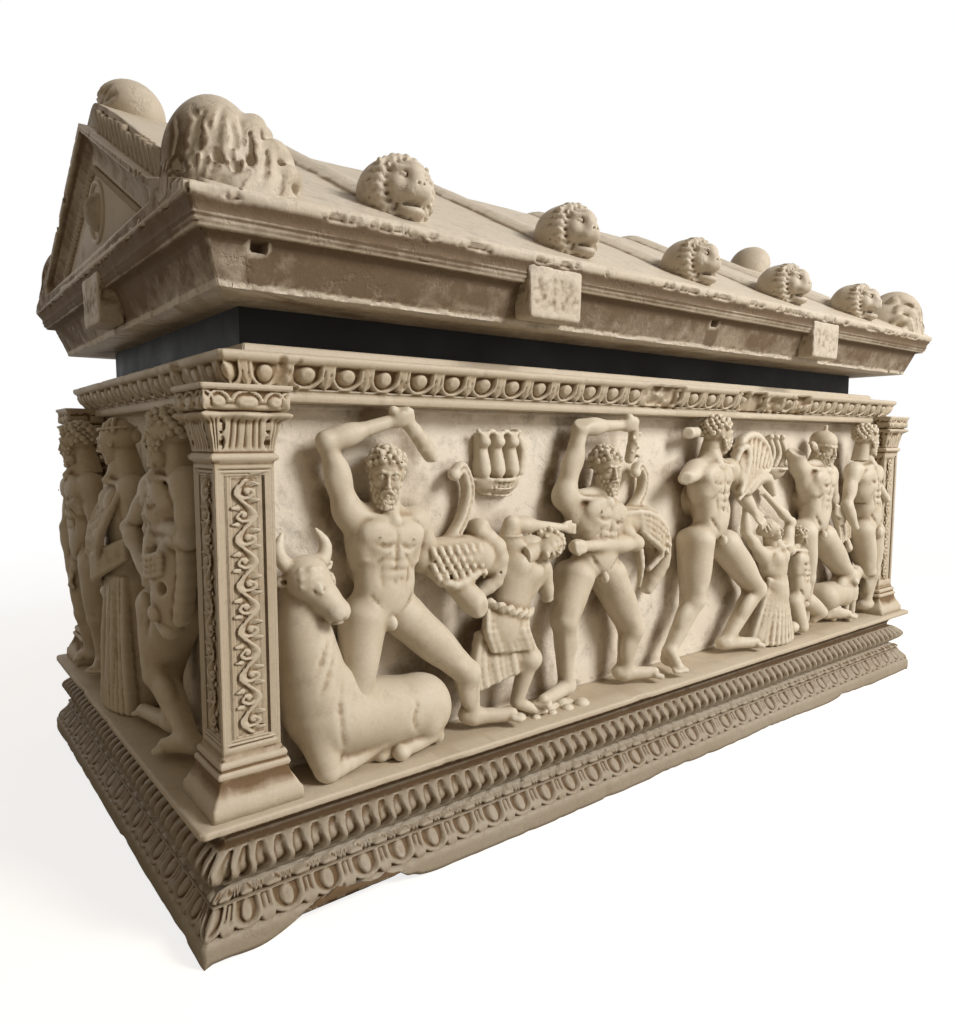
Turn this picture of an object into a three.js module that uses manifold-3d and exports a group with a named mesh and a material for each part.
// Carved marble sarcophagus: a hollow chest with relief figures, a black support frame and a gabled lid.
// Millimetres, X along the length, the front long side faces -Y, Z up, origin under the middle of the base.
import * as THREE from 'three';
import { mergeVertices } from 'three/addons/utils/BufferGeometryUtils.js';
import Module from 'manifold-3d';

const wasm = await Module();
wasm.setup();

// Overall sizes of the chest's base, and the gap kept between neighbouring pieces
const baseLength = 2350;
const baseWidth = 1174;
const gap = 0.3;
const overrun = 20;

// Heights of the base courses, from the floor up, and how far each steps in
const plinthHeight = 38;
const leafHeight = 35;
const leafSetback = 24;
const beadHeight = 15;
const beadSetback = 34;
const hollowHeight = 10;
const hollowSetback = 44;
const torusHeight = 50;
const torusSetback = 38;
const torusSwell = 24;
const throatHeight = 42;
const throatSetback = 52;
const ledgeHeight = 12;
const ledgeSetback = 5;

// The box of the chest and its hollow
const sideWallSetback = 137;
const endWallSetback = 135;
const panelHeight = 620;
const wallThickness = 106;
const troughFloorThickness = 98;

// Depth that the relief figures may stand out from the walls
const reliefDepth = 130;

// Cornice
const corniceHeight = 72;
const corniceSideReach = 88;
const corniceEndReach = 67;
const corniceLipHeight = 10;
const corniceFilletHeight = 20;
const corniceStep = 30;
const rimHeight = 18;
const rimSetback = 58;

// Corner pilasters
const shaftWidth = 92;
const shaftSideOut = 90;
const shaftEndOut = 80;
const pilasterBaseHeight = 88;
const pilasterBaseFlare = 26;
const capitalHeight = 112;
const capitalFlare = 24;
const abacusHeight = 38;
const panelMargin = 20;
const panelDepth = 6;

// Support frame between the chest and the lid
const frameHeight = 66;
const railWidth = 70;

// Lid
const lidEndShortfall = 4;
const lidSideOverhang = 24;
const lidLength = baseLength - 2 * lidEndShortfall;
const lidWidth = baseWidth + 2 * lidSideOverhang;
const fasciaHeight = 67;
const fasciaSetback = 59;
const fasciaTopSetback = 36;
const eaveHeight = 52;
const eaveLipHeight = 12;
const roofRise = 312;
const rakeDrop = 50;
const rakeThickness = 28;
const rakeKneeSetback = 171;
const rakeKneeRise = 45;
const rakeLipHeight = 16;
const rakeLipThickness = 14;
const pedimentDepth = 46;
const pedimentDrop = 72;
const pedimentFoot = 10;
const tileRadius = 52;
const tileRise = 16;
const dowelHoleWidth = 22;
const dowelHoleHeight = 15;
const dowelDepth = 30;
const dowelPlaceShares = [-0.451, 0.018];

// Pieces carved on the lid
const cornerLeafLength = 200;
const cornerLeafHeight = 150;
const cornerLeafDepth = 190;
const ridgeLeafLength = 118;
const ridgeLeafWidth = 164;
const ridgeLeafSink = 24;
const ridgeLeafRises = { left: 44, right: 76 };
const spoutRadius = 60;
const spoutSetback = 84;
const muzzleRadius = 36;
const muzzleReach = 54;
const bossLength = 140;
const bossSetback = 4;
const discRadius = 60;
const discThickness = 22;
const discBossRadius = 34;

// Heights that follow from the sizes above
const leafTop = plinthHeight + leafHeight;
const beadTop = leafTop + beadHeight;
const throatBottom = beadTop + hollowHeight + torusHeight;
const ledgeBottom = throatBottom + throatHeight;
const ledgeTop = ledgeBottom + ledgeHeight;
const panelTop = ledgeTop + panelHeight;
const corniceTop = panelTop + corniceHeight;
const rimTop = corniceTop + rimHeight;
const frameTop = rimTop + frameHeight;
const fasciaTop = frameTop + fasciaHeight;
const eaveTop = fasciaTop + eaveHeight;
const ridgeTop = eaveTop + roofRise;

const wallHalfLength = baseLength / 2 - endWallSetback;
const wallHalfWidth = baseWidth / 2 - sideWallSetback;
const hollowHalfLength = wallHalfLength - wallThickness;
const hollowHalfWidth = wallHalfWidth - wallThickness;
const corniceHalfLength = wallHalfLength + corniceEndReach;
const corniceHalfWidth = wallHalfWidth + corniceSideReach;
const roofSlope = roofRise / (lidWidth / 2);
const spoutPitch = (lidLength - 2 * cornerLeafLength) * 0.206;
const bossPitch = spoutPitch * 2.5;

const up = new THREE.Vector3(0, 0, 1);

// Solids from three.js geometries

function toSolid(geometry) {
  const bare = geometry.clone();
  bare.deleteAttribute('normal');
  bare.deleteAttribute('uv');
  const merged = mergeVertices(bare, gap / 1000);
  const index = merged.index.array;
  const triangles = [];
  for (let i = 0; i < index.length; i += 3) {
    const [a, b, c] = [index[i], index[i + 1], index[i + 2]];
    if (a !== b && b !== c && c !== a) triangles.push(a, b, c);
  }
  const vertProperties = new Float32Array(merged.attributes.position.array);
  const triVerts = new Uint32Array(triangles);
  return new wasm.Manifold(new wasm.Mesh({ numProp: 3, vertProperties, triVerts }));
}

function toGeometry(solid) {
  const mesh = solid.getMesh();
  const geometry = new THREE.BufferGeometry();
  geometry.setAttribute('position', new THREE.BufferAttribute(mesh.vertProperties, mesh.numProp));
  geometry.setIndex(new THREE.BufferAttribute(mesh.triVerts, 1));
  const flat = geometry.toNonIndexed();
  flat.computeVertexNormals();
  return flat;
}

function joined(solids) {
  return solids.reduce((whole, solid) => whole.add(solid));
}

// A cut can leave crumbs behind: the piece is the largest body that is left
function largestBody(solid) {
  return solid.decompose().sort((a, b) => b.volume() - a.volume())[0];
}

// A stack of level rectangles, each given by its distance from the centre both ways and its height
function stackedBlock(halfLength, halfWidth, rows, grow = 0, centre = [0, 0]) {
  const corners = [[-1, -1], [1, -1], [1, 1], [-1, 1]];
  const points = [];
  rows.forEach(([inset, z], row) => {
    const lift = row === 0 ? -grow : row === rows.length - 1 ? grow : 0;
    for (const [sx, sy] of corners) {
      const x = centre[0] + sx * (halfLength - inset + grow);
      points.push(x, centre[1] + sy * (halfWidth - inset + grow), z + lift);
    }
  });
  const faces = [0, 2, 1, 0, 3, 2];
  for (let row = 0; row + 1 < rows.length; row++) {
    for (let side = 0; side < 4; side++) {
      const [a, b] = [row * 4 + side, row * 4 + (side + 1) % 4];
      faces.push(a, b, b + 4, a, b + 4, a + 4);
    }
  }
  const top = (rows.length - 1) * 4;
  faces.push(top, top + 1, top + 2, top, top + 2, top + 3);
  const geometry = new THREE.BufferGeometry();
  geometry.setAttribute('position', new THREE.Float32BufferAttribute(points, 3));
  geometry.setIndex(faces);
  return toSolid(geometry);
}

function ordered(a, b) {
  return a < b ? [a, b] : [b, a];
}

function block(low, high) {
  const size = high.map((value, i) => value - low[i]);
  const geometry = new THREE.BoxGeometry(...size);
  geometry.translate(...low.map((value, i) => value + size[i] / 2));
  return toSolid(geometry);
}

// An outline pushed along X (its points are Y, Z) or along -Y (its points are X, Z)
function pushedOutline(points, axis, from, to) {
  const shape = new THREE.Shape(points.map(([a, b]) => new THREE.Vector2(a, b)));
  const geometry = new THREE.ExtrudeGeometry(shape, { depth: to - from, bevelEnabled: false });
  geometry.translate(0, 0, from);
  const turn = new THREE.Matrix4();
  if (axis === 'x') turn.set(0, 0, 1, 0, 1, 0, 0, 0, 0, 1, 0, 0, 0, 0, 0, 1);
  else turn.set(1, 0, 0, 0, 0, 0, -1, 0, 0, 1, 0, 0, 0, 0, 0, 1);
  geometry.applyMatrix4(turn);
  return toSolid(geometry);
}

// A limb: a tube through its joints, with a girth at each joint and blunt ends
const endBluntShare = 0.55;
const rollDirection = new THREE.Vector3(0.31, 0.47, 0.83);

function limb(joints, radii, sides = 5, grow = 0) {
  const last = joints.length - 1;
  const points = [];
  const rings = joints.map((joint, i) => {
    const before = new THREE.Vector3().subVectors(joint, joints[Math.max(i - 1, 0)]).normalize();
    const after = new THREE.Vector3().subVectors(joints[Math.min(i + 1, last)], joint).normalize();
    const along = before.add(after).normalize();
    const side = rollDirection.clone().cross(along).normalize();
    const across = new THREE.Vector3().crossVectors(along, side);
    return { joint, along, side, across, radius: radii[i] + grow };
  });
  for (const { joint, side, across, radius } of rings) {
    for (let k = 0; k < sides; k++) {
      const turn = 2 * Math.PI * k / sides;
      const point = joint.clone().addScaledVector(side, radius * Math.cos(turn));
      points.push(point.addScaledVector(across, radius * Math.sin(turn)));
    }
  }
  const [first, end] = [rings[0], rings[last]];
  points.push(first.joint.clone().addScaledVector(first.along, -first.radius * endBluntShare));
  points.push(end.joint.clone().addScaledVector(end.along, end.radius * endBluntShare));
  const faces = [];
  for (let k = 0; k < sides; k++) {
    const next = (k + 1) % sides;
    faces.push(points.length - 2, next, k, points.length - 1, last * sides + k, last * sides + next);
    for (let i = 0; i < last; i++) {
      const [a, b] = [i * sides + k, i * sides + next];
      faces.push(a, b, b + sides, a, b + sides, a + sides);
    }
  }
  const geometry = new THREE.BufferGeometry();
  const values = points.flatMap((point) => point.toArray());
  geometry.setAttribute('position', new THREE.Float32BufferAttribute(values, 3));
  geometry.setIndex(faces);
  return toSolid(geometry);
}

function ball(centre, radius, grow = 0) {
  const geometry = new THREE.IcosahedronGeometry(radius + grow, 1);
  geometry.translate(centre.x, centre.y, centre.z);
  return toSolid(geometry);
}

// The four carved walls: where each starts, which way runs along it and which way stands out of it.
// A figure is as wide as it would be on a wall of its own height, as a share of the wall's length.
const longWallFigureShare = 0.298;
const shortWallFigureShare = 0.689;
const longWall = { length: 2 * wallHalfLength, figureWidth: 2 * wallHalfLength * longWallFigureShare };
const shortWall = { length: 2 * wallHalfWidth, figureWidth: 2 * wallHalfWidth * shortWallFigureShare };
const panels = {
  front: { origin: [0, -wallHalfWidth], along: [1, 0], out: [0, -1], ...longWall },
  back: { origin: [0, wallHalfWidth], along: [-1, 0], out: [0, 1], ...longWall },
  left: { origin: [-wallHalfLength, 0], along: [0, -1], out: [-1, 0], ...shortWall },
  right: { origin: [wallHalfLength, 0], along: [0, 1], out: [1, 0], ...shortWall },
};

// A place on a panel: shares of a figure's width along, of the panel's height up and of the relief's depth out.
// A figure that faces the other way has its shares along the panel mirrored.
function placeOn(panel, { atShare, facing = 1 }, [alongShare, upShare, outShare]) {
  const along = atShare * panel.length + facing * alongShare * panel.figureWidth;
  const out = outShare * reliefDepth;
  return new THREE.Vector3(
    panel.origin[0] + panel.along[0] * along + panel.out[0] * out,
    panel.origin[1] + panel.along[1] * along + panel.out[1] * out,
    ledgeTop + upShare * panelHeight,
  );
}

// Thickness of a body's members, as shares of the panel's height
const girthShares = {
  crown: 0.074, chin: 0.054, neck: 0.046, shoulder: 0.06, ribs: 0.1, waist: 0.078, hip: 0.066,
  elbow: 0.045, wrist: 0.033, thigh: 0.075, knee: 0.055, ankle: 0.036, toe: 0.028,
};
const headUpShare = 0.045;
const headDownShare = 0.045;

// Members of a standing, striding or kneeling body: the joints each runs through, with a girth at each
const bodyMembers = [
  [['headTop', 'headLow'], ['crown', 'chin']],
  [['headLow', 'neck', 'chest', 'pelvis'], ['neck', 'neck', 'ribs', 'waist']],
  [
    ['handA', 'elbowA', 'shoulderA', 'shoulderB', 'elbowB', 'handB'],
    ['wrist', 'elbow', 'shoulder', 'shoulder', 'elbow', 'wrist'],
  ],
  [['hipA', 'hipB'], ['hip', 'hip']],
  [['hipA', 'kneeA', 'ankleA', 'toeA'], ['thigh', 'knee', 'ankle', 'toe']],
  [['hipB', 'kneeB', 'ankleB', 'toeB'], ['thigh', 'knee', 'ankle', 'toe']],
];

// Each figure: where it stands along its wall, its joints, and lumps for dress, gear or a beast's body
const frontFigures = {
  club_bearer: {
    atShare: -0.376,
    jointShares: {
      head: [-0.05, 0.81, 0.46], neck: [-0.04, 0.7, 0.38], chest: [-0.06, 0.6, 0.38],
      pelvis: [-0.06, 0.43, 0.4], shoulderA: [-0.15, 0.7, 0.32], elbowA: [-0.22, 0.9, 0.36],
      handA: [-0.02, 0.96, 0.48], shoulderB: [0.06, 0.67, 0.33], elbowB: [0.12, 0.57, 0.28],
      hipA: [-0.12, 0.41, 0.42], kneeA: [-0.17, 0.2, 0.58], hipB: [0.01, 0.4, 0.4],
      kneeB: [0.23, 0.19, 0.48], ankleB: [0.26, 0.04, 0.42], toeB: [0.38, 0.02, 0.7],
    },
    lumpShares: [
      [[-0.01, 0.96, 0.5], [0.1, 0.87, 0.4], 0.03, 0.045],
      [[0.1, 0.56, 0.26], [0.3, 0.53, 0.28], 0.06, 0.075],
      [[0.15, 0.46, 0.36], [0.22, 0.41, 0.44], 0.042, 0.05],
      [[0.2, 0.59, 0.2], [0.26, 0.69, 0.22], 0.04, 0.036],
      [[0.26, 0.69, 0.22], [0.265, 0.79, 0.22], 0.036, 0.034],
      [[0.265, 0.79, 0.22], [0.21, 0.81, 0.22], 0.034, 0.03],
    ],
  },
  kneeling_bull: {
    atShare: -0.416,
    jointShares: {},
    lumpShares: [
      [[-0.16, 0.54, 0.54], [-0.12, 0.48, 0.65], 0.062, 0.042],
      [[-0.18, 0.57, 0.48], [-0.23, 0.64, 0.48], 0.024, 0.016],
      [[-0.14, 0.57, 0.48], [-0.13, 0.65, 0.48], 0.024, 0.016],
      [[-0.16, 0.54, 0.45], [-0.12, 0.16, 0.42], 0.08, 0.11],
      [[-0.12, 0.16, 0.42], [0.24, 0.09, 0.4], 0.115, 0.11],
      [[-0.14, 0.2, 0.5], [-0.13, 0.02, 0.66], 0.06, 0.036],
      [[-0.13, 0.02, 0.66], [0.05, 0.03, 0.55], 0.034, 0.03],
      [[0.26, 0.07, 0.42], [0.12, 0.03, 0.56], 0.08, 0.036],
    ],
  },
  kneeling_captive: {
    atShare: -0.257,
    jointShares: {
      head: [0.15, 0.56, 0.55], neck: [0.09, 0.57, 0.42], chest: [0.03, 0.48, 0.38],
      pelvis: [-0.02, 0.27, 0.42], shoulderA: [0.02, 0.58, 0.38], elbowA: [0.02, 0.64, 0.42],
      handA: [0.25, 0.61, 0.42], shoulderB: [0.15, 0.48, 0.42], elbowB: [0.19, 0.37, 0.38],
      hipA: [-0.05, 0.26, 0.42], kneeA: [0.02, 0.13, 0.56], ankleA: [0, 0.04, 0.34],
      hipB: [0.02, 0.26, 0.36], kneeB: [0.05, 0.05, 0.5],
    },
    lumpShares: [[[-0.03, 0.3, 0.42], [-0.02, 0.16, 0.44], 0.08, 0.075]],
  },
  wrestler: {
    atShare: -0.139,
    jointShares: {
      head: [0.05, 0.81, 0.5], neck: [0.04, 0.71, 0.4], chest: [-0.02, 0.61, 0.38],
      pelvis: [0.02, 0.46, 0.38], shoulderA: [-0.12, 0.71, 0.33], elbowA: [-0.06, 0.95, 0.4],
      handA: [0.14, 0.96, 0.5], shoulderB: [0.1, 0.64, 0.36], elbowB: [0.21, 0.53, 0.52],
      handB: [-0.12, 0.55, 0.7], hipA: [-0.07, 0.43, 0.38], kneeA: [-0.15, 0.29, 0.52],
      ankleA: [-0.12, 0.05, 0.42], toeA: [-0.28, 0.03, 0.66], hipB: [0.1, 0.42, 0.38],
      kneeB: [0.2, 0.21, 0.52], ankleB: [0.18, 0.04, 0.42], toeB: [0.29, 0.02, 0.7],
    },
    lumpShares: [
      [[0.15, 0.6, 0.24], [0.35, 0.56, 0.28], 0.06, 0.07],
      [[0.35, 0.56, 0.28], [0.4, 0.48, 0.28], 0.07, 0.06],
      [[0.4, 0.48, 0.28], [0.36, 0.34, 0.22], 0.05, 0.04],
      [[0.26, 0.62, 0.2], [0.31, 0.71, 0.2], 0.04, 0.036],
      [[0.31, 0.71, 0.2], [0.27, 0.79, 0.2], 0.036, 0.03],
      [[-0.32, 0, 0.5], [-0.2, 0, 0.5], 0.03, 0.03],
    ],
  },
  jar_bowl: {
    atShare: -0.257,
    jointShares: {},
    lumpShares: [
      [[-0.06, 0.76, 0.1], [0.08, 0.76, 0.1], 0.04, 0.04],
      [[-0.04, 0.78, 0.12], [-0.04, 0.91, 0.14], 0.036, 0.034],
      [[0.025, 0.78, 0.12], [0.025, 0.91, 0.14], 0.036, 0.034],
      [[0.09, 0.78, 0.12], [0.09, 0.91, 0.14], 0.036, 0.034],
    ],
  },
  striding_man: {
    atShare: 0.06,
    jointShares: {
      head: [0.04, 0.93, 0.5], neck: [0.01, 0.83, 0.42], chest: [0.03, 0.73, 0.42],
      pelvis: [0.04, 0.54, 0.42], shoulderA: [-0.07, 0.79, 0.4], elbowA: [-0.2, 0.76, 0.62],
      shoulderB: [0.2, 0.79, 0.26], elbowB: [0.3, 0.67, 0.3], handB: [0.34, 0.6, 0.45],
      hipA: [-0.05, 0.5, 0.44], kneeA: [-0.09, 0.27, 0.52], ankleA: [-0.23, 0.08, 0.48],
      toeA: [-0.26, 0.02, 0.8], hipB: [0.16, 0.47, 0.38], kneeB: [0.36, 0.26, 0.52],
      ankleB: [0.17, 0.05, 0.42], toeB: [0.31, 0.02, 0.7],
    },
    lumpShares: [
      [[0.24, 0.88, 0.16], [0.42, 0.9, 0.18], 0.04, 0.055],
      [[0.42, 0.9, 0.18], [0.53, 0.8, 0.18], 0.055, 0.055],
      [[0.3, 0.76, 0.18], [0.46, 0.76, 0.2], 0.07, 0.08],
      [[-0.12, 0.94, 0.3], [-0.04, 0.95, 0.3], 0.03, 0.03],
    ],
  },
  kneeling_woman: {
    atShare: 0.2,
    jointShares: {
      head: [-0.01, 0.51, 0.5], neck: [0.06, 0.45, 0.42], chest: [0.05, 0.36, 0.44],
      pelvis: [0.06, 0.2, 0.44], shoulderA: [-0.04, 0.4, 0.42], elbowA: [-0.16, 0.51, 0.38],
      handA: [-0.15, 0.64, 0.32], shoulderB: [0.17, 0.42, 0.38], elbowB: [0.22, 0.53, 0.34],
      handB: [-0.03, 0.68, 0.36],
    },
    lumpShares: [
      [[0.05, 0.2, 0.44], [-0.08, 0.04, 0.5], 0.08, 0.06],
      [[0.06, 0.2, 0.44], [0.03, 0.04, 0.56], 0.09, 0.07],
      [[0.08, 0.2, 0.42], [0.14, 0.04, 0.56], 0.08, 0.06],
    ],
  },
  small_kneeling_man: {
    atShare: 0.27,
    jointShares: {
      head: [0.055, 0.46, 0.42], neck: [0.06, 0.41, 0.38], chest: [0.045, 0.34, 0.42],
      pelvis: [0.06, 0.17, 0.42], shoulderA: [-0.04, 0.4, 0.4], shoulderB: [0.15, 0.4, 0.36],
      elbowB: [0.18, 0.28, 0.4], hipA: [0.01, 0.15, 0.42], kneeA: [0.02, 0.04, 0.6],
      ankleA: [0.09, 0.04, 0.3], hipB: [0.13, 0.14, 0.42], kneeB: [0.21, 0.08, 0.56],
      ankleB: [0.18, 0.04, 0.46],
    },
    lumpShares: [],
  },
  capped_man: {
    atShare: 0.32,
    jointShares: {
      head: [0.04, 0.87, 0.48], neck: [0.03, 0.79, 0.4], chest: [-0.02, 0.69, 0.38],
      pelvis: [0.01, 0.5, 0.38], shoulderA: [-0.12, 0.78, 0.33], elbowA: [-0.17, 0.85, 0.33],
      handA: [-0.15, 0.87, 0.52], shoulderB: [0.17, 0.75, 0.3], elbowB: [0.22, 0.63, 0.3],
      handB: [0.23, 0.54, 0.4], hipA: [-0.08, 0.47, 0.38], kneeA: [-0.06, 0.26, 0.44],
      ankleA: [-0.03, 0.05, 0.36], hipB: [0.11, 0.44, 0.38], kneeB: [0.31, 0.24, 0.5],
      ankleB: [0.19, 0.07, 0.42], toeB: [0.29, 0.02, 0.66],
    },
    lumpShares: [
      [[0.06, 0.93, 0.44], [0.07, 0.97, 0.42], 0.04, 0.016],
      [[0.24, 0.51, 0.3], [0.35, 0.38, 0.32], 0.05, 0.045],
    ],
  },
  hound: {
    atShare: 0.388,
    jointShares: {},
    lumpShares: [
      [[0.11, 0.22, 0.56], [0.09, 0.2, 0.68], 0.046, 0.03],
      [[0.2, 0.23, 0.5], [0.23, 0.21, 0.62], 0.042, 0.03],
      [[0.12, 0.2, 0.48], [-0.05, 0.13, 0.34], 0.062, 0.07],
      [[0.08, 0.16, 0.46], [0.08, 0.03, 0.5], 0.036, 0.024],
      [[0.15, 0.16, 0.42], [0.15, 0.03, 0.44], 0.036, 0.024],
      [[-0.04, 0.12, 0.34], [0, 0.03, 0.4], 0.05, 0.024],
    ],
  },
  standing_man: {
    atShare: 0.446,
    jointShares: {
      head: [-0.03, 0.92, 0.66], neck: [-0.01, 0.81, 0.58], chest: [0.02, 0.69, 0.56],
      pelvis: [0.08, 0.48, 0.56], shoulderA: [-0.11, 0.76, 0.56], elbowA: [-0.19, 0.59, 0.62],
      handA: [-0.13, 0.47, 0.72], shoulderB: [0.12, 0.73, 0.56], hipA: [0.01, 0.45, 0.56],
      kneeA: [0.05, 0.24, 0.66], ankleA: [0.01, 0.06, 0.54], toeA: [0.1, 0.02, 0.78],
      hipB: [0.13, 0.44, 0.54], kneeB: [0.14, 0.22, 0.56], ankleB: [0.12, 0.05, 0.5],
      toeB: [0.18, 0.02, 0.7],
    },
    lumpShares: [[[0.13, 0.68, 0.66], [0.17, 0.6, 0.74], 0.036, 0.03]],
  },
  small_bowl: {
    atShare: 0.245,
    jointShares: {},
    lumpShares: [
      [[-0.05, 0.76, 0.1], [0.03, 0.76, 0.1], 0.04, 0.04],
      [[-0.04, 0.79, 0.1], [-0.05, 0.92, 0.14], 0.034, 0.03],
      [[0.02, 0.79, 0.1], [0.03, 0.92, 0.14], 0.034, 0.03],
    ],
  },
};

const leftFigures = {
  lyre_player: {
    atShare: 0.262,
    jointShares: {
      head: [0.08, 0.92, 0.54], neck: [0.04, 0.83, 0.46], chest: [0, 0.73, 0.44],
      pelvis: [-0.08, 0.48, 0.44], shoulderA: [-0.14, 0.77, 0.44], elbowA: [-0.3, 0.63, 0.62],
      handA: [-0.1, 0.53, 0.7], shoulderB: [0.15, 0.79, 0.42], elbowB: [0.2, 0.64, 0.5],
      handB: [0.03, 0.62, 0.64], hipA: [-0.16, 0.4, 0.44], kneeA: [-0.1, 0.2, 0.56],
      ankleA: [0.12, 0.06, 0.48], toeA: [0.06, 0.02, 0.72], hipB: [0, 0.42, 0.42],
      kneeB: [-0.14, 0.22, 0.42], ankleB: [-0.08, 0.05, 0.42], toeB: [-0.28, 0.02, 0.58],
    },
    lumpShares: [[[0.04, 0.58, 0.58], [0.12, 0.46, 0.58], 0.08, 0.09]],
  },
  robed_woman: {
    atShare: -0.06,
    jointShares: {
      head: [0, 0.9, 0.58], neck: [-0.01, 0.8, 0.5], chest: [-0.02, 0.7, 0.5],
      pelvis: [-0.03, 0.42, 0.48], shoulderA: [-0.11, 0.75, 0.48], elbowA: [-0.16, 0.58, 0.5],
      handA: [-0.14, 0.44, 0.66], shoulderB: [0.08, 0.75, 0.46], elbowB: [0.1, 0.6, 0.46],
    },
    lumpShares: [
      [[-0.03, 0.42, 0.46], [-0.03, 0.06, 0.46], 0.11, 0.125],
      [[-0.08, 0.45, 0.58], [0.04, 0.5, 0.58], 0.05, 0.06],
    ],
  },
  outer_man: {
    atShare: -0.42,
    jointShares: {
      head: [0.02, 0.9, 0.72], neck: [0, 0.8, 0.66], chest: [-0.01, 0.69, 0.62],
      pelvis: [-0.02, 0.46, 0.58], shoulderA: [-0.11, 0.74, 0.66], elbowA: [-0.15, 0.56, 0.8],
      handA: [-0.08, 0.4, 0.84], shoulderB: [0.1, 0.74, 0.58], elbowB: [0.13, 0.58, 0.56],
      handB: [0.06, 0.46, 0.64], hipA: [-0.08, 0.42, 0.58], kneeA: [-0.08, 0.22, 0.62],
      ankleA: [-0.08, 0.05, 0.54], toeA: [-0.1, 0.02, 0.74], hipB: [0.05, 0.42, 0.52],
      kneeB: [0.07, 0.22, 0.54], ankleB: [0.08, 0.05, 0.5], toeB: [0.12, 0.02, 0.66],
    },
    lumpShares: [],
  },
};

// The right end and the back are plain standing men and robed women, turned a little from one another
function standingMan(atShare, leanShare, facing) {
  return {
    atShare,
    facing,
    jointShares: {
      head: [leanShare, 0.9, 0.5], neck: [0, 0.8, 0.42], chest: [0, 0.69, 0.4],
      pelvis: [0.02, 0.47, 0.4], shoulderA: [-0.12, 0.74, 0.38], elbowA: [-0.17, 0.57, 0.44],
      handA: [-0.1, 0.43, 0.6], shoulderB: [0.12, 0.74, 0.38], elbowB: [0.19, 0.6, 0.42],
      handB: [0.2, 0.77, 0.56], hipA: [-0.06, 0.43, 0.4], kneeA: [-0.07, 0.23, 0.48],
      ankleA: [-0.09, 0.05, 0.4], toeA: [-0.13, 0.02, 0.62], hipB: [0.08, 0.43, 0.38],
      kneeB: [0.13, 0.23, 0.42], ankleB: [0.12, 0.05, 0.36], toeB: [0.17, 0.02, 0.6],
    },
    lumpShares: [[[0.19, 0.8, 0.5], [0.2, 0.06, 0.44], 0.018, 0.018]],
  };
}

function robedFigure(atShare, leanShare) {
  return {
    atShare,
    jointShares: {
      head: [leanShare, 0.9, 0.5], neck: [0, 0.8, 0.42], chest: [0, 0.69, 0.4],
      pelvis: [0, 0.44, 0.42], shoulderA: [-0.11, 0.75, 0.38], elbowA: [-0.16, 0.58, 0.42],
      handA: [-0.02, 0.62, 0.66], shoulderB: [0.11, 0.75, 0.38], elbowB: [0.16, 0.57, 0.42],
      handB: [0.1, 0.42, 0.6],
    },
    lumpShares: [
      [[0, 0.44, 0.42], [0, 0.06, 0.42], 0.11, 0.125],
      [[-0.08, 0.46, 0.5], [0.1, 0.52, 0.46], 0.05, 0.05],
    ],
  };
}

const rightFigures = {
  right_robed_woman: robedFigure(-0.3, 0.02),
  right_spear_man: standingMan(0, -0.02, -1),
  right_robed_man: robedFigure(0.31, -0.02),
};

const backFigures = {
  back_robed_woman: robedFigure(-0.36, 0.02),
  back_spear_man: standingMan(-0.13, 0.02, 1),
  back_robed_man: robedFigure(0.12, -0.02),
  back_staff_man: standingMan(0.35, -0.02, -1),
};

function figureSolid(panel, figure, grow = 0) {
  const joints = {};
  for (const [name, shares] of Object.entries(figure.jointShares)) {
    joints[name] = placeOn(panel, figure, shares);
  }
  if (joints.head) {
    joints.headTop = joints.head.clone().addScaledVector(up, headUpShare * panelHeight);
    joints.headLow = joints.head.clone().addScaledVector(up, -headDownShare * panelHeight);
  }
  const pieces = [];
  for (const [names, girths] of bodyMembers) {
    const present = names.map((name, i) => [joints[name], girthShares[girths[i]] * panelHeight]);
    const kept = present.filter(([joint]) => joint);
    if (kept.length < 2) continue;
    pieces.push(limb(kept.map(([joint]) => joint), kept.map(([, radius]) => radius), 5, grow));
  }
  for (const [from, to, fromShare, toShare] of figure.lumpShares) {
    const ends = [from, to].map((shares) => placeOn(panel, figure, shares));
    const radii = [fromShare * panelHeight, toShare * panelHeight];
    pieces.push(limb(ends, radii, 5, grow));
  }
  return joined(pieces);
}

// Rows of the chest's courses: inset from the base's edge, and height
const basePlinthRows = [
  [0, 0],
  [0, plinthHeight],
  [leafSetback * 0.2, plinthHeight + leafHeight * 0.2],
  [leafSetback * 0.5, plinthHeight + leafHeight * 0.6],
  [leafSetback, plinthHeight + leafHeight * 0.85],
  [leafSetback, leafTop],
  [beadSetback, leafTop],
  [beadSetback, beadTop],
];

const torusTurns = 5;
const torusRows = [[hollowSetback, beadTop], [hollowSetback, beadTop + hollowHeight]];
for (let i = 0; i <= torusTurns; i++) {
  const turn = i / torusTurns;
  const inset = torusSetback - torusSwell * Math.sin(Math.PI * turn);
  torusRows.push([inset, beadTop + hollowHeight + torusHeight * turn]);
}
torusRows.push(
  [throatSetback, throatBottom],
  [throatSetback, throatBottom + throatHeight * 0.4],
  [throatSetback * 0.5, ledgeBottom - throatHeight * 0.1],
  [throatSetback * 0.5, ledgeBottom],
);

const ledgeRows = [[ledgeSetback, ledgeBottom], [ledgeSetback, ledgeTop]];

const corniceRows = [
  [corniceStep, panelTop],
  [corniceStep, panelTop + corniceFilletHeight],
  [corniceStep * 0.7, panelTop + corniceFilletHeight],
  [0, corniceTop - corniceLipHeight],
  [0, corniceTop],
];
const rimRows = [[rimSetback, corniceTop], [rimSetback, rimTop]];

function corniceOuter(grow = 0) {
  return stackedBlock(corniceHalfLength, corniceHalfWidth, corniceRows, grow);
}

function hollowBlock(bottom, top) {
  return block([-hollowHalfLength, -hollowHalfWidth, bottom], [hollowHalfLength, hollowHalfWidth, top]);
}

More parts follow.
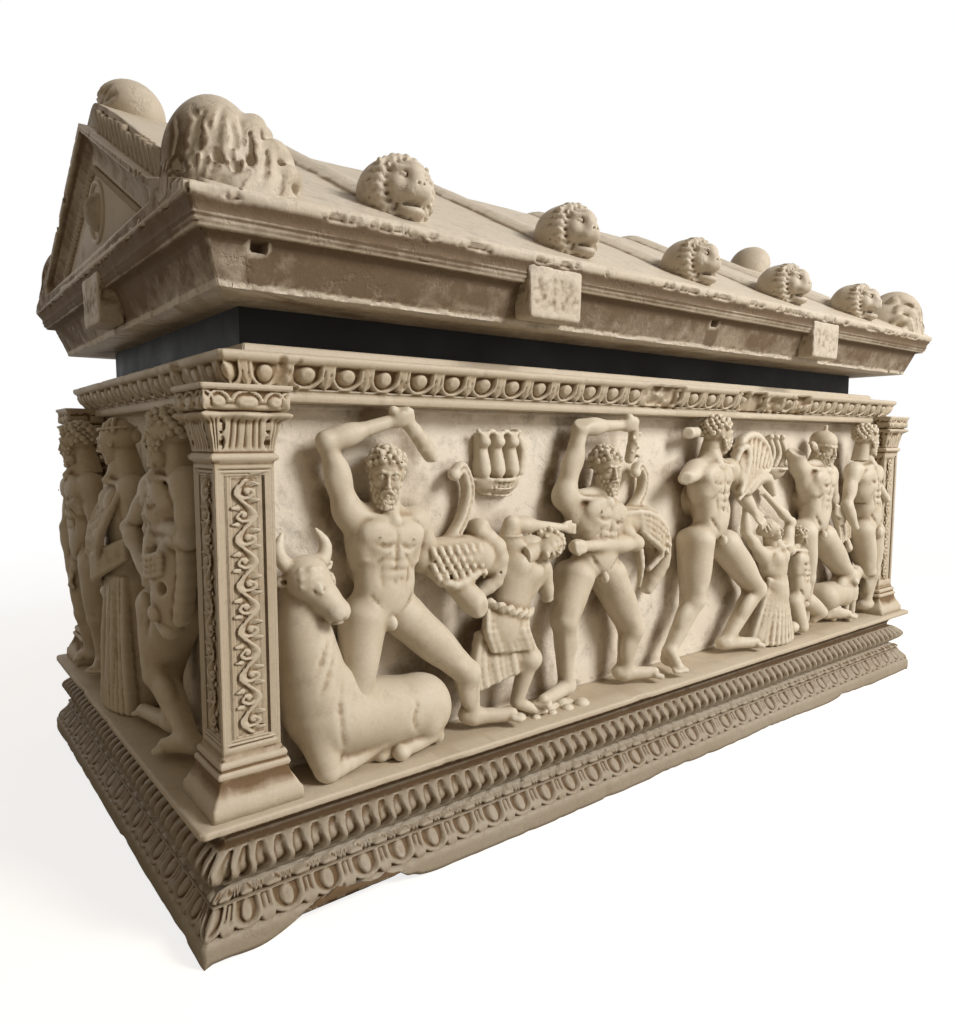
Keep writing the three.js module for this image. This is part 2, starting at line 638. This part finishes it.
function troughSolid() {
  const low = [-wallHalfLength, -wallHalfWidth, ledgeTop];
  const walls = block(low, [wallHalfLength, wallHalfWidth, panelTop]);
  return walls.subtract(hollowBlock(ledgeTop + troughFloorThickness, panelTop + overrun));
}

function corniceSolid() {
  const rim = stackedBlock(corniceHalfLength, corniceHalfWidth, rimRows);
  return corniceOuter().add(rim).subtract(hollowBlock(panelTop - overrun, rimTop + overrun));
}

// A pilaster: flared base, square shaft with a sunk panel on its two outer faces, flared capital
function pilasterSolid(sx, sy, grow = 0) {
  const half = shaftWidth / 2;
  const centre = [sx * (wallHalfLength + shaftEndOut - half), sy * (wallHalfWidth + shaftSideOut - half)];
  const capitalBottom = panelTop + corniceFilletHeight - capitalHeight;
  const capitalTop = panelTop + corniceFilletHeight;
  const baseTop = ledgeTop + pilasterBaseHeight;
  const rows = [
    [-pilasterBaseFlare, ledgeTop],
    [-pilasterBaseFlare, ledgeTop + pilasterBaseHeight * 0.25],
    [-pilasterBaseFlare * 0.7, ledgeTop + pilasterBaseHeight * 0.45],
    [-pilasterBaseFlare * 0.3, ledgeTop + pilasterBaseHeight * 0.6],
    [-pilasterBaseFlare * 0.25, baseTop - pilasterBaseHeight * 0.1],
    [0, baseTop],
    [0, capitalBottom],
    [-capitalFlare * 0.2, capitalBottom],
    [0, capitalBottom + capitalHeight * 0.12],
    [-capitalFlare * 0.15, capitalTop - abacusHeight * 1.4],
    [-capitalFlare, capitalTop - abacusHeight],
    [-capitalFlare, capitalTop],
  ];
  const shaft = stackedBlock(half, half, rows, grow, centre);
  if (grow > 0) return shaft;
  const wide = half - panelMargin;
  const [low, high] = [baseTop + panelMargin, capitalBottom - panelMargin];
  const faceX = centre[0] + sx * half;
  const faceY = centre[1] + sy * half;
  const xs = ordered(faceX - sx * panelDepth, faceX + sx * overrun);
  const ys = ordered(faceY - sy * panelDepth, faceY + sy * overrun);
  const sidePanel = block([centre[0] - wide, ys[0], low], [centre[0] + wide, ys[1], high]);
  const endPanel = block([xs[0], centre[1] - wide, low], [xs[1], centre[1] + wide, high]);
  const wallHug = block(
    [-wallHalfLength - gap, -wallHalfWidth - gap, ledgeTop - overrun],
    [wallHalfLength + gap, wallHalfWidth + gap, panelTop + overrun],
  );
  return shaft.subtract(sidePanel).subtract(endPanel).subtract(wallHug).subtract(corniceOuter(gap));
}

// Lid: fascia and eave, roof, tile ribs, and a raking lip round a sunk pediment at each end
const lidRows = [
  [fasciaSetback, frameTop],
  [fasciaTopSetback, fasciaTop],
  [fasciaTopSetback * 0.5, fasciaTop],
  [fasciaTopSetback * 0.3, fasciaTop + eaveHeight * 0.4],
  [0, eaveTop - eaveLipHeight],
  [0, eaveTop],
];
const roofHalfWidth = lidWidth / 2 - gap;
const rakeTop = ridgeTop - rakeDrop;
const kneeHalfWidth = roofHalfWidth - rakeKneeSetback;
const kneeTop = eaveTop + rakeKneeRise;
const rakeSlope = (rakeTop - kneeTop) / kneeHalfWidth;

function roofHeightAt(y) {
  return ridgeTop - Math.abs(y) * roofSlope;
}

// The end outlines of the roof and of its raking lip, mirrored from one side's points
function gableOutline(sidePoints, apex, grow) {
  const foot = [roofHalfWidth, eaveTop - eaveLipHeight];
  const right = [foot, ...sidePoints.map(([y, z]) => [y, z + grow])];
  return [...right, [0, apex + grow], ...right.map(([y, z]) => [-y, z]).reverse()];
}

function roofSolid(grow) {
  const halfLength = lidLength / 2 - rakeThickness + grow;
  const outline = gableOutline([[roofHalfWidth, eaveTop]], ridgeTop, grow);
  return pushedOutline(outline, 'x', -halfLength, halfLength);
}

function rakeSolid(grow) {
  const halfLength = lidLength / 2 + grow;
  const outline = gableOutline([[roofHalfWidth, eaveTop], [kneeHalfWidth, kneeTop]], rakeTop, grow);
  return pushedOutline(outline, 'x', -halfLength, halfLength);
}

// A triangle sunk into a lid end, under the raking lip
function pedimentOpening(side, drop, depth) {
  const [foot, apex] = [eaveTop + pedimentFoot, rakeTop - drop];
  const halfWidth = (apex - foot) / rakeSlope;
  const [from, to] = ordered(side * (lidLength / 2 - depth), side * (lidLength / 2 + overrun));
  return pushedOutline([[-halfWidth, foot], [halfWidth, foot], [0, apex]], 'x', from, to);
}

// A tile rib runs from the ridge down into each spout
function tileRib(x, side, grow = 0) {
  const eaveEnd = new THREE.Vector3(x, side * (lidWidth / 2 - spoutSetback), 0);
  const ridgeEnd = new THREE.Vector3(x, side * tileRadius, 0);
  for (const end of [eaveEnd, ridgeEnd]) end.z = roofHeightAt(end.y) - tileRadius + tileRise;
  return limb([eaveEnd, ridgeEnd], [tileRadius, tileRadius], 8, grow);
}

function lidCore(grow = 0) {
  const eave = stackedBlock(lidLength / 2, lidWidth / 2, lidRows, grow);
  return joined([eave, roofSolid(grow), rakeSolid(grow)]);
}

function lidBlockSolid() {
  let lid = lidCore();
  for (const side of [-1, 1]) {
    lid = lid.subtract(pedimentOpening(side, rakeLipHeight, rakeLipThickness));
    lid = lid.subtract(pedimentOpening(side, pedimentDrop, pedimentDepth));
    for (const x of spoutPlaces()) lid = lid.add(tileRib(x, side));
  }
  const outside = -lidWidth / 2;
  const holeTop = fasciaTop - fasciaHeight * 0.04;
  for (const share of dowelPlaceShares) {
    const x = lidLength * share;
    const low = [x - dowelHoleWidth / 2, outside, holeTop - dowelHoleHeight];
    const high = [x + dowelHoleWidth / 2, outside + fasciaTopSetback + dowelDepth, holeTop];
    lid = lid.subtract(block(low, high));
  }
  return lid;
}

function spoutPlaces() {
  return [-2, -1, 0, 1, 2].map((step) => step * spoutPitch);
}

function spoutSolid(x, side) {
  const head = new THREE.Vector3(x, side * (lidWidth / 2 - spoutSetback), 0);
  head.z = roofHeightAt(head.y) + spoutRadius * 0.5;
  const nose = new THREE.Vector3(x, head.y + side * muzzleReach, head.z - spoutRadius * 0.25);
  return ball(head, spoutRadius).add(limb([head, nose], [muzzleRadius, muzzleRadius * 0.8], 6));
}

const cornerLeafShares = [
  [0, 0], [1, 0], [0.97, 0.16], [0.84, 0.51], [0.74, 0.66],
  [0.52, 0.92], [0.34, 1], [0.2, 0.98], [0.04, 0.56],
];

function cornerLeafSolid(sx, sy) {
  const start = sx * (lidLength / 2);
  const outline = cornerLeafShares.map(([alongShare, upShare]) => [
    start - sx * alongShare * cornerLeafLength,
    eaveTop - eaveLipHeight * 0.5 + upShare * cornerLeafHeight,
  ]);
  if (sx > 0) outline.reverse();
  const face = lidWidth / 2 - gap;
  const [from, to] = [face - cornerLeafDepth, face];
  return pushedOutline(outline, 'y', ...(sy < 0 ? [from, to] : [-to, -from]));
}

function ridgeLeafSolid(place, side) {
  const geometry = new THREE.IcosahedronGeometry(1, 2);
  geometry.scale(ridgeLeafLength / 2, ridgeLeafWidth / 2, ridgeLeafSink + ridgeLeafRises[place]);
  const x = side * (lidLength / 2 - rakeThickness - ridgeLeafLength / 2);
  geometry.translate(x, 0, ridgeTop - ridgeLeafSink);
  return toSolid(geometry);
}

// Lifting bosses: square lugs under the eave, cut back at the foot
function bossOutline(outer, sign) {
  const inner = outer - fasciaSetback - overrun;
  const [low, high] = [frameTop + fasciaHeight * 0.1, eaveTop - eaveLipHeight - gap];
  const points = [
    [inner, low],
    [outer - fasciaSetback * 0.75, low],
    [outer, low + fasciaHeight * 0.25],
    [outer, high],
    [inner, high],
  ].map(([y, z]) => [sign * y, z]);
  return sign < 0 ? points.reverse() : points;
}

function sideBossSolid(x, side) {
  const outline = bossOutline(lidWidth / 2 - bossSetback, side);
  return pushedOutline(outline, 'x', x - bossLength / 2, x + bossLength / 2);
}

function endBossSolid(side) {
  const outline = bossOutline(lidLength / 2 - bossSetback, side);
  return pushedOutline(outline, 'y', -bossLength / 2, bossLength / 2);
}

function discSolid(side) {
  const profile = [
    [0, 0], [discRadius, 0], [discRadius, discThickness * 0.6],
    [discRadius * 0.86, discThickness], [discBossRadius, discThickness],
    [discBossRadius * 0.7, discThickness * 1.5], [0, discThickness * 1.6],
  ];
  const points = profile.map(([radius, height]) => new THREE.Vector2(radius, height));
  const geometry = new THREE.LatheGeometry(points, 16);
  geometry.rotateZ(-side * Math.PI / 2);
  const x = side * (lidLength / 2 - pedimentDepth + gap);
  geometry.translate(x, 0, eaveTop + roofRise * 0.33);
  return toSolid(geometry);
}

// Finishes

const marble = { color: 0xcdbfa6, roughness: 0.62, metalness: 0 };
const figureMarble = { color: 0xd8cbb4, roughness: 0.5, metalness: 0 };
const lidMarble = { color: 0xb9ac97, roughness: 0.72, metalness: 0 };
const blackSteel = { color: 0x151412, roughness: 0.38, metalness: 0.4 };

const sarcophagus = new THREE.Group();

function addPiece(parent, name, solid, finish) {
  const mesh = new THREE.Mesh(toGeometry(solid), new THREE.MeshStandardMaterial(finish));
  mesh.name = name;
  parent.add(mesh);
}

// Chest

const chest = new THREE.Group();
sarcophagus.add(chest);
addPiece(chest, 'base_plinth', stackedBlock(baseLength / 2, baseWidth / 2, basePlinthRows), marble);
addPiece(chest, 'base_torus', stackedBlock(baseLength / 2, baseWidth / 2, torusRows), marble);
addPiece(chest, 'figure_ledge', stackedBlock(baseLength / 2, baseWidth / 2, ledgeRows), marble);
addPiece(chest, 'trough', troughSolid(), marble);
addPiece(chest, 'cornice', corniceSolid(), marble);

const corners = { front_left: [-1, -1], front_right: [1, -1], back_left: [-1, 1], back_right: [1, 1] };
const pilasterKeepouts = [];
for (const [place, [sx, sy]] of Object.entries(corners)) {
  addPiece(chest, `pilaster_${place}`, pilasterSolid(sx, sy), marble);
  pilasterKeepouts.push(pilasterSolid(sx, sy, gap));
}

// What no relief figure may enter: the walls, the ledge, the cornice and the pilasters
const wallKeepout = block(
  [-wallHalfLength - gap, -wallHalfWidth - gap, -overrun],
  [wallHalfLength + gap, wallHalfWidth + gap, rimTop + overrun],
);
const ledgeKeepout = block(
  [-baseLength, -baseWidth, -overrun],
  [baseLength, baseWidth, ledgeTop + gap],
);
const keepout = joined([wallKeepout, ledgeKeepout, corniceOuter(gap), ...pilasterKeepouts]);

function addFigures(panel, figures) {
  let taken = null;
  for (const [name, figure] of Object.entries(figures)) {
    let solid = figureSolid(panel, figure).subtract(keepout);
    if (taken) solid = solid.subtract(taken);
    addPiece(chest, name, largestBody(solid), figureMarble);
    const grown = figureSolid(panel, figure, gap);
    taken = taken ? taken.add(grown) : grown;
  }
}

addFigures(panels.front, frontFigures);
addFigures(panels.left, leftFigures);
addFigures(panels.right, rightFigures);
addFigures(panels.back, backFigures);

// Support frame: two long rails and two short ones between them

const railOuterLength = corniceHalfLength - rimSetback - overrun;
const railOuterWidth = hollowHalfWidth + railWidth;
for (const [name, side] of [['front', -1], ['back', 1]]) {
  const ys = ordered(side * railOuterWidth, side * (railOuterWidth - railWidth));
  const rail = block([-railOuterLength, ys[0], rimTop], [railOuterLength, ys[1], frameTop]);
  addPiece(sarcophagus, `frame_rail_${name}`, rail, blackSteel);
}
for (const [name, side] of [['left', -1], ['right', 1]]) {
  const xs = ordered(side * railOuterLength, side * (railOuterLength - railWidth));
  const inner = railOuterWidth - railWidth - gap;
  const rail = block([xs[0], -inner, rimTop], [xs[1], inner, frameTop]);
  addPiece(sarcophagus, `frame_rail_${name}`, rail, blackSteel);
}

// Lid

const lid = new THREE.Group();
sarcophagus.add(lid);
addPiece(lid, 'lid_block', largestBody(lidBlockSolid()), lidMarble);
const lidKeepout = lidCore(gap);

for (const [place, [sx, sy]] of Object.entries(corners)) {
  const leaf = cornerLeafSolid(sx, sy).subtract(lidKeepout);
  addPiece(lid, `corner_leaf_${place}`, largestBody(leaf), lidMarble);
}
for (const [place, side] of [['left', -1], ['right', 1]]) {
  const leaf = ridgeLeafSolid(place, side).subtract(lidKeepout);
  const boss = endBossSolid(side).subtract(lidKeepout);
  addPiece(lid, `ridge_leaf_${place}`, largestBody(leaf), lidMarble);
  addPiece(lid, `pediment_disc_${place}`, discSolid(side), lidMarble);
  addPiece(lid, `lifting_boss_${place}`, largestBody(boss), lidMarble);
}
for (const [place, side] of [['front', -1], ['back', 1]]) {
  spoutPlaces().forEach((x, i) => {
    const head = spoutSolid(x, side).subtract(lidKeepout).subtract(tileRib(x, side, 2 * gap));
    addPiece(lid, `lion_spout_${place}_${i + 1}`, largestBody(head), lidMarble);
  });
  [-bossPitch / 2, bossPitch / 2].forEach((x, i) => {
    const boss = sideBossSolid(x, side).subtract(lidKeepout);
    addPiece(lid, `lifting_boss_${place}_${i + 1}`, largestBody(boss), lidMarble);
  });
}

export default sarcophagus;
